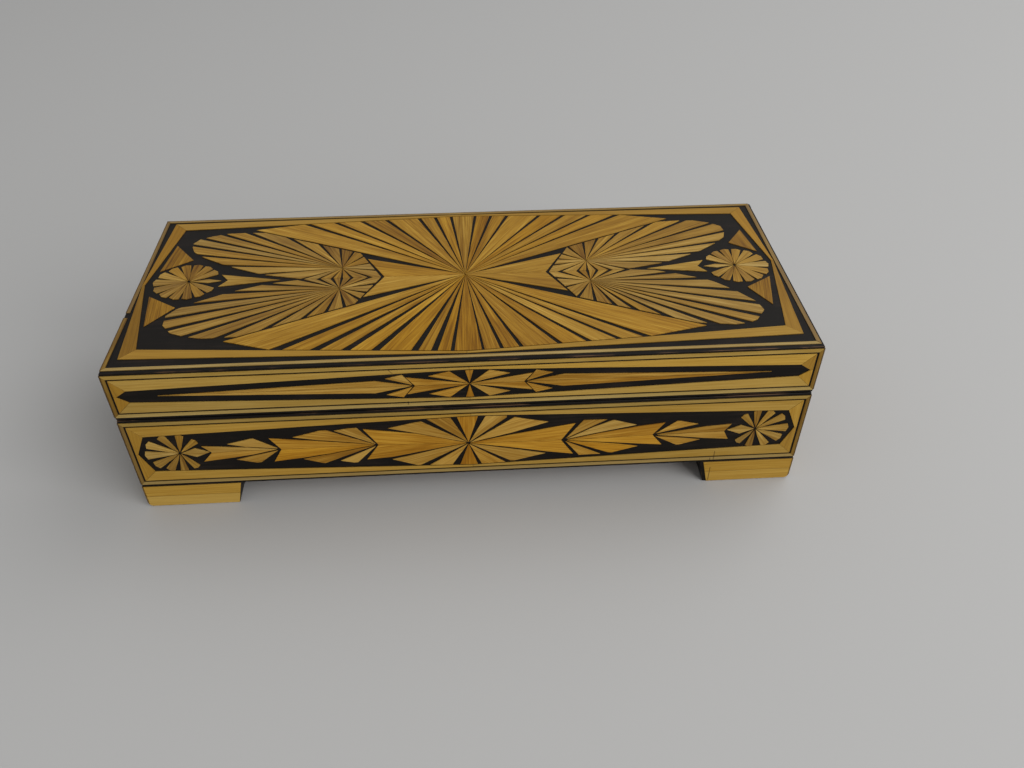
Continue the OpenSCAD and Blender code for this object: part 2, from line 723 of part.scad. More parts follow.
// The height of the field's edge above the pattern's axis, at x
function edge_rise(x, s) = let (mid = s > 0 ? top_field[2] : top_field[6],
    corner = s > 0 ? top_field[1] : top_field[7])
    mid.y + (corner.y - mid.y) * abs(x) / corner.x - top_axis;
function stop_angle(x, m, s) = atan2(edge_rise(x, s), m * x);
function stops_of(m, s) = [for (i = [0:6]) sun_stops[i] - (i == 6 && s < 0 ? m * front_skew : 0)];
// Half the black gap at a stop: wider further out, and in one quarter
function half_gap(x, m, s) = (ray_gap + 0.02 * x) / 2 * (m + s < 0 ? wide_quarter : 1);

module top_sunburst() {
    color(straw_gold) on_top() {
        for (s = [-1, 1]) {
            // The upright ray
            half = sun_stops[0] - half_gap(sun_stops[0], 1, s);
            a = atan2(edge_rise(half, 1), half);
            upright = ray(sun_centre, a, 180 - a, box_len);
            straw(clip(s > 0 ? upright : [for (i = [3:-1:0])
                [upright[i].x, 2 * top_axis - upright[i].y]], top_room));
            for (m = [-1, 1]) {
                stops = stops_of(m, s);
                for (i = [0:5]) {
                    x1 = stops[i];
                    x2 = stops[i + 1];
                    a1 = stop_angle(x1 + half_gap(x1, m, s), m, s);
                    a2 = stop_angle(x2 - half_gap(x2, m, s), m, s);
                    straw(clip(ray(sun_centre, m * s > 0 ? a2 : a1, m * s > 0 ? a1 : a2, box_len),
                        top_room));
                }
                // The long outer ray, which ends in a slanting tip
                last = stops[6] + half_gap(stops[6], m, s);
                shoulder = [m * last, top_axis + edge_rise(last, s) - s * field_gap];
                tip = on_pattern(sun_tip, m, s);
                outer = [sun_centre + ray_start * unit(heading(sun_centre, tip)), tip, shoulder,
                    sun_centre + ray_start * unit(heading(sun_centre, shoulder))];
                straw(clip(m * s > 0 ? outer : [for (i = [3:-1:0]) outer[i]], top_room));
                // Half of the dart that points along the axis
                straw(in_quarter([[dart_start, hair], [dart_apex, hair], dart_tip,
                    dart_tip * dart_start / dart_tip.x], m, s));
            }
        }
    }
}

// Angles of the cuts of a fan round its pivot: beside the axis, the long tips, and behind
fan_pivot = [38.4, 5.6];
inner_cuts = [-64, -39, -24];
behind_cuts = [212, 239, 267];
tip_cuts_back_right = [-5, 4.4, 11.3, 17.5, 24.4, 32.5, 41.5, 52.5, 68, 88, 120, 148, 170, 190];
tip_cuts_back_left = [-4.5, 5.6, 12.5, 18.4, 23.4, 29, 35.4, 45.5, 60, 82, 107, 134, 164, 190];
tip_cuts_front_right = [-6.5, 1.6, 10, 17, 23.8, 29.4, 36.3, 44.4, 54.4, 67, 90, 120, 160, 192];
tip_cuts_front_left = [-9.5, 0.3, 7.8, 14.5, 20.6, 27.2, 35.3, 44.7, 58, 76.5, 103.5, 136.5, 162, 190];
// Outline of a fan: along the axis, out to the scalloped end, and back beside the long ray
fan_heel = [[33.2, 13.8], [32, 11.5], [26.1, 0.05], [49.5, 0.05]];
fan_end_back_right = [[62.5, 3.2], [71.5, 7.3], [76.5, 10], [82, 14], [85.5, 17.5], [86.5, 21],
    [86, 24.2], [82.5, 26.7], [77.5, 28.4], [72, 28.6], [65.5, 28.2]];
fan_end_back_left = [[62.5, 3.2], [71.5, 7.3], [76.5, 10], [82.5, 13.8], [84.8, 15.6], [86.8, 17.8],
    [87.8, 20.4], [87.9, 22.8], [86.2, 25.3], [82.5, 26.9], [77.5, 28.4], [72, 28.6], [65.5, 28.2]];
fan_end_front_right = [[58.9, 0.9], [65.3, 3.1], [72.1, 5.9], [76.1, 8.2], [81.1, 12.8],
    [86.5, 19.4], [87.5, 23.6], [84.3, 28.1], [81.5, 29.6], [77.4, 30.1], [66.5, 28.7]];
fan_end_front_left = [[60.9, 2], [71.2, 5.7], [80.9, 10.8], [85.5, 14], [87.8, 17.2],
    [87.6, 21.7], [84.7, 25.4], [80, 27.4], [75.5, 28.4], [65.5, 28.2]];

// How far it is from c along the direction u to the outline of a convex region
function reach(pts, c, u) = min([for (i = [0:len(pts) - 1])
    let (p = pts[i] - c, e = pts[(i + 1) % len(pts)] - pts[i], d = u.x * e.y - u.y * e.x)
    if (abs(d) > 0.0001)
    let (t = (p.x * e.y - p.y * e.x) / d, w = (p.x * u.y - p.y * u.x) / d)
    if (t > 0 && w >= 0 && w <= 1) t]);

module fan(m, s, tip_cuts, end) {
    pivot = on_pattern(fan_pivot, m, s);
    region = in_quarter(concat(fan_heel, end), m, s);
    cuts = concat(inner_cuts, tip_cuts, behind_cuts);
    n = len(cuts);
    tip_gap = s > 0 ? fan_gap : fan_gap * front_fan_gap;
    long_tip = 40;
    // Half the gap at each cut, in degrees: full at the long tips, half as wide at the shortest
    gaps = [for (a = cuts) let (far = reach(region, pivot, [m * cos(a), s * sin(a)]))
        tip_gap * (0.5 + min(1, far / long_tip) / 2) / far * 90 / PI];
    color(straw_pale) on_top() for (i = [0:n - 1]) {
        a1 = cuts[i] + gaps[i];
        a2 = cuts[(i + 1) % n] + (i == n - 1 ? 360 : 0) - gaps[(i + 1) % n];
        wedge = [for (p = [ray_start * unit(a1), box_len * unit(a1), box_len * unit(a2),
            ray_start * unit(a2)]) pivot + [m * p.x, s * p.y]];
        straw(clip(clip(m * s > 0 ? wedge : [for (k = [3:-1:0]) wedge[k]], region), top_room));
    }
}
module top_fan_back_right() {
    fan(1, 1, tip_cuts_back_right, fan_end_back_right);
}
module top_fan_back_left() {
    fan(-1, 1, tip_cuts_back_left, fan_end_back_left);
}
module top_fan_front_right() {
    fan(1, -1, tip_cuts_front_right, fan_end_front_right);
}
module top_fan_front_left() {
    fan(-1, -1, tip_cuts_front_left, fan_end_front_left);
}

rosette_at = [84.8, 0.6];
top_stretch = 1.5;
top_lozenge = 9.8;
top_waist = 6;
top_blade = 9;
top_neck = 4.6;
// The petals leave a wider place for the lozenge, and a narrow gap between each other
petal_span = 317;
top_step = petal_span / (top_petals - 1);
top_touch = top_step / 2 - 0.4;
top_wide = top_step / 2 - 2.8;
top_turns = [for (k = [1:top_petals - 1]) (k - top_petals / 2) * top_step];

module top_rosette(m) {
    color(straw_pale) on_top()
        rosette(on_pattern(rosette_at, m), top_rosette_r, top_stretch, top_turns,
            top_lozenge, top_waist, top_blade, top_neck, top_touch, top_wide, m, top_room);
}
module top_rosette_left() {
    top_rosette(-1);
}
module top_rosette_right() {
    top_rosette(1);
}

// The notched tongue between two fans, and the triangle in each corner
tongue = [[57, 0.1], [75.4, -2.5], [73, 0.7], [75.4, 3.9]];
corner_left = [[86, 12.9], [95, 6.8], [92.9, 21.8]];
corner_back_right = [[86.2, 13.8], [94, 8.2], [91.9, 21.6]];
corner_front_right = [[85.7, 11.6], [94.1, 6.2], [90.9, 21]];

module top_field_pieces() {
    color(straw_amber) on_top() for (m = [-1, 1]) {
        straw(in_quarter(tongue, m, 1));
        for (s = [-1, 1]) {
            drawn = m < 0 ? corner_left : s > 0 ? corner_back_right : corner_front_right;
            straw(clip(in_quarter(drawn, m, s), inset(top_field, 2 * line_gap)));
        }
    }
}

body_front_wall();
body_back_wall();
body_left_wall();
body_right_wall();
bottom_board();
foot_front_left();
foot_front_right();
foot_back_left();
foot_back_right();
foot_facings();
lid_front_rail();
lid_back_rail();
lid_left_rail();
lid_right_rail();
lid_top_board();
hinge_left_body_leaf();
hinge_left_lid_leaf();
hinge_left_pin();
hinge_right_body_leaf();
hinge_right_lid_leaf();
hinge_right_pin();
hinge_body_nails();
hinge_lid_nails();
top_edge_lines();
top_border();
top_sunburst();
top_fan_back_right();
top_fan_back_left();
top_fan_front_right();
top_fan_front_left();
top_rosette_left();
top_rosette_right();
top_field_pieces();
lid_front_border();
lid_front_spray();
lid_back_border();
lid_back_spray();
lid_left_border();
lid_left_spray();
lid_right_border();
lid_right_spray();
body_front_border();
body_front_spray();
body_front_rosettes();
body_back_border();
body_back_spray();
body_back_rosettes();
body_left_border();
body_left_spray();
body_right_border();
body_right_spray();
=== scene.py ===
"""A straw marquetry box: black-stained wood faced with pieces of split straw, on four block feet.

Every straw is rebuilt from the outline of its CAD solid as a hand-cut piece of its own, and the
wood gets softened arrises. Lengths are in metres, and in millimetres where a name ends in _MM.
"""
import json
import math
import random
from collections import namedtuple

import bmesh
import bpy
from mathutils import Matrix, Vector

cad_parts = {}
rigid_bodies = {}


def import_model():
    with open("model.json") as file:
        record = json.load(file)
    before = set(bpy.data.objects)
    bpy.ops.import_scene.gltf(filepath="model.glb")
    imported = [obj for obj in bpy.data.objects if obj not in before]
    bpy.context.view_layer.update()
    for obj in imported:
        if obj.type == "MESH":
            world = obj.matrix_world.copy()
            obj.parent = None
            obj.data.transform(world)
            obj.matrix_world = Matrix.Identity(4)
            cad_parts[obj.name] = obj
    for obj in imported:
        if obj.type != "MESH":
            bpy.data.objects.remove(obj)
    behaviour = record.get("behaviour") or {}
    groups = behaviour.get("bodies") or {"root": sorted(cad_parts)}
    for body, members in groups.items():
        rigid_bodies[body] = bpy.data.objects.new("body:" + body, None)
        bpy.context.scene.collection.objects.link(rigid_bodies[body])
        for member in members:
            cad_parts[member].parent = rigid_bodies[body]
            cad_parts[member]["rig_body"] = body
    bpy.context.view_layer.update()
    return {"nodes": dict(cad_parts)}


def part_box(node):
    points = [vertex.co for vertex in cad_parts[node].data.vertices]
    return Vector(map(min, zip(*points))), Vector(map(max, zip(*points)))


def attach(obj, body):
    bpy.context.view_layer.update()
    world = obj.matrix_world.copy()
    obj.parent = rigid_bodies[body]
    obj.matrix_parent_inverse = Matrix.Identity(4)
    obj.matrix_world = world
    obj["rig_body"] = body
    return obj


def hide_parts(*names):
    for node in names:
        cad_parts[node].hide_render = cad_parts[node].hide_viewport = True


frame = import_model()
MM = 0.001
TINY = 1e-6              # the least length that anything is divided by

# Places taken from the CAD nodes

NODES = frame["nodes"]
STRAW_WORDS = ("_border", "_lines", "_facings", "_sunburst", "_spray", "_pieces", "_rosette",
               "top_fan")
LID_LOW, LID_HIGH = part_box("lid_front_rail")
BODY_LOW, BODY_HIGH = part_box("body_front_wall")
PIN_LOW, PIN_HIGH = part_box("hinge_left_pin")
BORDER_LOW, BORDER_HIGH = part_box("top_border")
WOOD_X = BODY_HIGH.x
WOOD_Y = -BODY_LOW.y
INNER_X = -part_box("body_left_wall")[1].x
INNER_Y = -BODY_HIGH.y
TOP_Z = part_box("lid_top_board")[1].z
SEAM_Z = (BODY_HIGH.z + LID_LOW.z) / 2
HINGE_Y = (PIN_LOW.y + PIN_HIGH.y) / 2
# How far the bevels at the back reach up and down from the rims
BEVEL_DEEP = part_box("body_front_border")[1].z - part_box("body_back_border")[1].z
STRAW_T = BORDER_HIGH.z - BORDER_LOW.z


def body_of_node(node):
    return NODES[node]["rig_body"]


def is_foot(node):
    return node.startswith("foot_") and node != "foot_facings"


def has_hinge_cuts(node):
    """The back wall and the lid's back rail, where beds leave only thin strips of the rim."""
    return node in ("body_back_wall", "lid_back_rail")


# Meshes of the CAD nodes

WELD = 1e-6              # corners closer than this are one
PLACE_DIGITS = 5         # parts are put in order by their middles to a hundredth of a millimetre
THICKNESS_SLACK = 0.02 * MM
FACING = 0.99            # cosine between a straw's outer face and the way that the straw faces
UPWARD = 0.5             # a normal that rises more than this is the top's


def merged(node):
    """The node's mesh with its corners joined."""
    bm = bmesh.new()
    bm.from_mesh(NODES[node].data)
    bmesh.ops.remove_doubles(bm, verts=bm.verts, dist=WELD)
    return bm


def islands(bm):
    """The connected parts of bm, as lists of faces, in an order that doesn't depend on the order of
    the faces in the mesh.
    """
    seen, found = set(), []
    for start in bm.faces:
        if start in seen:
            continue
        stack, part = [start], []
        seen.add(start)
        while stack:
            face = stack.pop()
            part.append(face)
            for edge in face.edges:
                # Straws that meet along an edge share it, with four faces in all
                for other in edge.link_faces if len(edge.link_faces) == 2 else ():
                    if other not in seen:
                        seen.add(other)
                        stack.append(other)
        found.append(part)

    def place(part):
        centre = sum((f.calc_center_median() * f.calc_area() for f in part), Vector())
        centre /= sum(f.calc_area() for f in part)
        return tuple(round(c, PLACE_DIGITS) for c in centre)
    return sorted(found, key=place)


def outward(part):
    """The way a straw faces: along its thinnest side, away from the box."""
    points = [v.co for f in part for v in f.verts]
    low = Vector([min(p[i] for p in points) for i in range(3)])
    high = Vector([max(p[i] for p in points) for i in range(3)])
    middle = (low + high) / 2
    thin = [i for i in range(3) if abs(high[i] - low[i] - STRAW_T) < THICKNESS_SLACK]
    outside = [abs(middle.x) - WOOD_X, abs(middle.y) - WOOD_Y, middle.z - TOP_Z]
    axis = max(thin, key=lambda i: outside[i])
    normal = Vector((0, 0, 0))
    normal[axis] = 1 if axis == 2 or middle[axis] > 0 else -1
    return normal


def outline(part, normal):
    """The straw's outer outline, anticlockwise as seen from outside."""
    faces = [f for f in part if f.normal.dot(normal) > FACING]
    chosen = set(faces)
    following = {}
    for face in faces:
        for loop in face.loops:
            if not any(f in chosen and f is not face for f in loop.edge.link_faces):
                following[loop.vert] = loop.link_loop_next.vert
    start = min(following, key=lambda v: tuple(v.co))
    points, at = [], start
    while True:
        points.append(at.co.copy())
        at = following[at]
        if at is start:
            return points


def plane_axes(normal):
    """Two directions in a face, with the first one level."""
    if abs(normal.z) > UPWARD:
        return Vector((1, 0, 0)), Vector((0, 1, 0))
    up = Vector((0, 0, 1))
    return up.cross(normal), up


# Flat outlines

LEAST_SIDE = 0.12 * MM
SAME_LINE = 0.002 * MM   # a corner that lies this near to the line past it is left out
SIDE_BY_SIDE = 1e-6      # sine of the angle between lines that never meet
TIP_SIDE = 0.5 * MM      # a side shorter than this may be a cut-off tip
TIP_NEIGHBOURS = 3       # if the sides beside it are this many times as long
TIP_REACH = 1.2 * MM
TIP_KEPT = 0.8


def cross(a, b):
    return a[0] * b[1] - a[1] * b[0]


def simplified(points):
    """A flat outline without points that lie close together or on a straight line."""
    kept = []
    for p in points:
        if not kept or (p - kept[-1]).length > LEAST_SIDE:
            kept.append(p)
        else:
            kept[-1] = (kept[-1] + p) / 2
    if len(kept) > 3 and (kept[0] - kept[-1]).length <= LEAST_SIDE:
        kept[0] = (kept[0] + kept.pop()) / 2
    count = len(kept)
    corners = []
    for i, p in enumerate(kept):
        a, b = kept[i - 1], kept[(i + 1) % count]
        off = abs(cross(p - a, b - a)) / max((b - a).length, TINY)
        if off > SAME_LINE:
            corners.append(p)
    return corners if len(corners) > 2 else kept


def meeting(a, b, c, d):
    """Where the line from a to b meets the line from c to d, or None if they run side by side."""
    turn = cross(b - a, d - c)
    if abs(turn) < SIDE_BY_SIDE * (b - a).length * (d - c).length:
        return None
    return a + (b - a) * (cross(c - a, d - c) / turn)


def sharpened(points):
    """The outline with its cut-off tips drawn out nearly to where their two long sides meet."""
    count = len(points)
    if count < 4:
        return points
    drawn, dropped = {}, set()
    for i in range(count):
        before, p, q, after = (points[(i + k) % count] for k in (-1, 0, 1, 2))
        short = (q - p).length
        beside = min((p - before).length, (after - q).length)
        if short > TIP_SIDE or beside < TIP_NEIGHBOURS * short:
            continue
        tip = meeting(before, p, after, q)
        middle = (p + q) / 2
        if tip is None or (tip - middle).length > TIP_REACH or (tip - p).dot(p - before) <= 0:
            continue
        drawn[i] = middle.lerp(tip, TIP_KEPT)
        dropped.add((i + 1) % count)
    return [drawn.get(i, p) for i, p in enumerate(points) if i not in dropped]


def principal(points):
    """The middle of a flat outline, the direction in which it is longest, and its area.

    The direction comes from the outline's second moments of area.
    """
    centre = Vector((0, 0))
    area = xx = yy = xy = 0.0
    origin = points[0]
    for i in range(1, len(points) - 1):
        a, b = points[i] - origin, points[i + 1] - origin
        w = cross(a, b) / 2
        area += w
        centre += w * (a + b) / 3
        xx += w * (a.x * a.x + b.x * b.x + a.x * b.x) / 6
        yy += w * (a.y * a.y + b.y * b.y + a.y * b.y) / 6
        xy += w * (2 * a.x * a.y + 2 * b.x * b.y + a.x * b.y + a.y * b.x) / 12
    centre /= area
    xx -= area * centre.x ** 2
    yy -= area * centre.y ** 2
    xy -= area * centre.x * centre.y
    angle = 0.5 * math.atan2(2 * xy, xx - yy)
    return origin + centre, Vector((math.cos(angle), math.sin(angle))), area


# Straws

CUT_STEP = 3.0 * MM      # a knife cut wavers over about this length
CUT_WAVER = 0.035 * MM   # and strays inwards by up to this much
CHAMFER = 0.035 * MM     # the pressed-down edge of a straw
CHAMFER_SHARE = 0.12     # and on a narrow one at most this share of its mean width
MITRE_LIMIT = 3          # a sharp tip moves in by this many chamfers at most
STRIP_WIDTH = 7.6 * MM   # the widest strip that one straw gives
SINK = 0.05 * MM         # how much lower the lowest straws lie
TILT = 0.02 * MM         # how much higher one side lies than the middle
TILT_SPAN = 2 * MM       # straws smaller than this tilt as if they were so large
SHEEN_TONE_BY_TURN = 0.22      # straws along the box are painted paler than straws across it: painted sheen
TONE_SPREAD = 0.065
SPRAY_SPREAD = 0.11
UPRIGHT_WARMTH = 0.6     # and straws across it more orange
FRONT_WARMTH = 1.4       # and most of all the front's tongues and upright rays
STRAIGHT = 0.98          # cosine to the box's length or height of a straight straw
TONGUE_WIDTH = 3.5 * MM  # a level straw wider than this is a tongue
WARMTH_REACH = 1.5       # straws are as cool or as warm as this at most
WARMTH_SPREAD = 0.3
LINE_WIDTH = 1.6 * MM    # straws as narrow and as long as this are edge lines
LINE_LENGTH = 12 * MM
LINE_WARMTH = -1.3
LINE_TONE = -0.08
# Upright edge lines are painted darker by this much: painted shade
LINE_UPRIGHT_SHADE = -0.12

# How pale the straws of a node are and how far they spread, how orange they are, and how much
# more orange the straight ones are
Look = namedtuple("Look", "tone spread warmth straight_warmth")


class Straw:
    """The flat shape of one straw, in the plane of the face that it lies on."""

    def __init__(self, part):
        self.normal = outward(part)
        self.right, self.up = plane_axes(self.normal)
        points = outline(part, self.normal)
        self.surface = points[0].dot(self.normal)
        self.points = simplified(sharpened([self.flat(p) for p in points]))
        self.centre, self.along, self.area = principal(self.points)
        self.across = Vector((-self.along.y, self.along.x))
        aside = [(p - self.centre).dot(self.across) for p in self.points]
        ahead = [(p - self.centre).dot(self.along) for p in self.points]
        self.least_aside = min(aside)
        self.width, self.length = max(aside) - min(aside), max(ahead) - min(ahead)

    def flat(self, place):
        return Vector((place.dot(self.right), place.dot(self.up)))

    def vertex(self, bm, p, height):
        """A new corner at the flat point p, so much higher than the CAD solid's outer face."""
        return bm.verts.new(self.right * p.x + self.up * p.y
                            + self.normal * (self.surface + height))


def wavering(points, rng):
    """The outline with points along its long sides, each moved inwards a little."""
    found = []
    count = len(points)
    for i, p in enumerate(points):
        side = points[(i + 1) % count] - p
        found.append(p)
        pieces = int(side.length // CUT_STEP)
        if pieces < 2:
            continue
        inwards = Vector((-side.y, side.x)).normalized()
        for k in range(1, pieces):
            found.append(p + side * (k / pieces) + inwards * CUT_WAVER * rng.random())
    return found


def moved_in(points, amount):
    """The outline moved inwards. At a sharp tip the move along the bisector is capped."""
    found = []
    count = len(points)
    for i, p in enumerate(points):
        before = (p - points[i - 1]).normalized()
        after = (points[(i + 1) % count] - p).normalized()
        bisector = Vector((-before.y - after.y, before.x + after.x))
        half = bisector.length / 2
        found.append(p + bisector.normalized() * (amount / max(half, 1 / MITRE_LIMIT)))
    return found


def straw_faces(bm, straw, rng):
    """Adds a straw to bm: a plate with wavering sides and pressed-down edges, tilted a little."""
    mean_width = abs(straw.area) / max(straw.length, TINY)
    chamfer = min(CHAMFER, CHAMFER_SHARE * mean_width)
    base = wavering(straw.points, rng)
    top = moved_in(base, chamfer)
    drop = SINK * rng.random() ** 2
    lean = (straw.across * (rng.uniform(-1, 1) * TILT / max(straw.width, TILT_SPAN))
            + straw.along * (rng.uniform(-1, 1) * TILT / max(straw.length, TILT_SPAN)))
    reach = max(abs(lean.dot(p - straw.centre)) for p in straw.points)

    def height(p):
        return -drop - reach + lean.dot(p - straw.centre)
    rings = [[straw.vertex(bm, p, -STRAW_T) for p in base],
             [straw.vertex(bm, p, height(p) - chamfer) for p in base],
             [straw.vertex(bm, p, height(p)) for p in top]]
    faces = [bm.faces.new(rings[2]), bm.faces.new(list(reversed(rings[0])))]
    for low, high in zip(rings, rings[1:]):
        for i in range(len(base)):
            k = (i + 1) % len(base)
            faces.append(bm.faces.new((low[i], low[k], high[k], high[i])))
    return faces


def straw_tint(straw, look, rng):
    """How pale and how orange a straw is. How level the fibres lie decides a part of both, and its
    part of the paleness is painted sheen.
    """
    # The turn term is painted sheen: level straws painted paler, upright ones darker
    tone = look.tone + SHEEN_TONE_BY_TURN * (abs(straw.along.x) - 0.5) + rng.gauss(0, look.spread)
    warm = look.warmth + rng.gauss(0, WARMTH_SPREAD)
    if straw.width < LINE_WIDTH and straw.length > LINE_LENGTH:
        # Upright edge lines are painted darker still: painted shade
        tone += LINE_TONE + LINE_UPRIGHT_SHADE * abs(straw.along.y)
        return tone, warm + LINE_WARMTH
    warm += UPRIGHT_WARMTH * abs(straw.along.y)
    tongue = abs(straw.along.x) > STRAIGHT and straw.width > TONGUE_WIDTH
    if tongue or abs(straw.along.y) > STRAIGHT:
        warm += look.straight_warmth
    return tone, warm


def paint(faces, straw, tones, layers):
    """Writes what the straw material reads: values on each face, and two maps on its corners.

    The grain map is in millimetres along and across the fibres. The strip map counts strips.
    """
    grain, strip, side_layer, *tone_layers = layers
    strips = max(1, math.ceil(straw.width / STRIP_WIDTH))
    for k, face in enumerate(faces):
        # Only the first face of a straw is its shiny outer one
        face[side_layer] = 1 if k else 0
        for layer, value in zip(tone_layers, tones):
            face[layer] = value
        for loop in face.loops:
            p = straw.flat(loop.vert.co) - straw.centre
            ahead, aside = p.dot(straw.along), p.dot(straw.across)
            loop[grain].uv = (ahead / MM, aside / MM)
            loop[strip].uv = ((aside - straw.least_aside) / max(straw.width, TINY) * strips,
                              ahead / max(straw.length, TINY) + 0.5)


def straw_node(node, material, look):
    """Stands for a straw node with one object of hand-cut straws."""
    cad = merged(node)
    rng = random.Random(node)
    bm = bmesh.new()
    layers = [bm.loops.layers.uv.new(name) for name in ("grain", "strip")]
    layers += [bm.faces.layers.float.new(name) for name in ("side", "tone", "warm", "piece")]
    for part in islands(cad):
        straw = Straw(part)
        faces = straw_faces(bm, straw, rng)
        tone, warm = straw_tint(straw, look, rng)
        paint(faces, straw, (tone, warm, rng.random()), layers)
    cad.free()
    placed(bm, node + "_straws", material, node)


def placed(bm, name, material, node):
    """Makes an object of bm that stands for a CAD node and rides on its body."""
    mesh = bpy.data.meshes.new(name)
    bm.to_mesh(mesh)
    bm.free()
    mesh.materials.append(material)
    piece = bpy.data.objects.new(name, mesh)
    bpy.context.scene.collection.objects.link(piece)
    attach(piece, body_of_node(node))
    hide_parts(node)


# Wood

ARRIS = 0.18 * MM
ARRIS_STEPS = 2
ROUND = 0.5              # the bevel's profile
FLAT_TURN = math.radians(0.5)    # faces that turn less than this are one
ARRIS_TURN = math.radians(30)    # edges that turn more than this are arrises
SQUARE = 0.999           # cosine to an axis of a face that is square to it
PLANE_SLACK = 0.01 * MM
# Edges of the hinge cuts are no longer than this, and stay sharp
HINGE_CUT = 20 * MM


def exposed_planes(node):
    """The planes of a wall, rail or board that show on the finished box, as (axis, place)."""
    sides = [(0, WOOD_X), (1, WOOD_Y), (0, INNER_X)]
    if not has_hinge_cuts(node):
        sides.append((1, INNER_Y))
    low, high = (LID_LOW, LID_HIGH) if node.startswith("lid") else (BODY_LOW, BODY_HIGH)
    return [(axis, way * place) for axis, place in sides for way in (-1, 1)] + [
        (2, low.z), (2, high.z)]


def shows(face, planes):
    """Whether a face lies in one of the planes. Slanting faces always show."""
    axis = max(range(3), key=lambda i: abs(face.normal[i]))
    if abs(face.normal[axis]) < SQUARE:
        return True
    place = face.calc_center_median()[axis]
    return any(a == axis and abs(place - p) < PLANE_SLACK for a, p in planes)


def rubbed_edges(bm, node):
    """The arrises of a wooden piece that show on the finished box. All those of a foot do."""
    planes = exposed_planes(node)
    shortest = HINGE_CUT if has_hinge_cuts(node) else 0
    return [e for e in bm.edges if len(e.link_faces) == 2 and e.is_convex
            and e.calc_face_angle(0) > ARRIS_TURN and e.calc_length() > shortest
            and (is_foot(node) or all(shows(f, planes) for f in e.link_faces))]


def wooden_node(node, material):
    """Stands for a wooden piece, with its arrises that show rubbed round."""
    bm = merged(node)
    bmesh.ops.dissolve_limit(bm, angle_limit=FLAT_TURN, verts=bm.verts, edges=bm.edges,
                             use_dissolve_boundaries=False)
    edges = rubbed_edges(bm, node)
    worn = bm.faces.layers.float.new("arris")
    if edges:
        made = bmesh.ops.bevel(bm, geom=edges, offset=ARRIS, segments=ARRIS_STEPS, profile=ROUND,
                               affect="EDGES", clamp_overlap=True)
        for face in made["faces"]:
            face[worn] = 1
            face.smooth = True
    placed(bm, node + "_wood", material, node)


# Materials

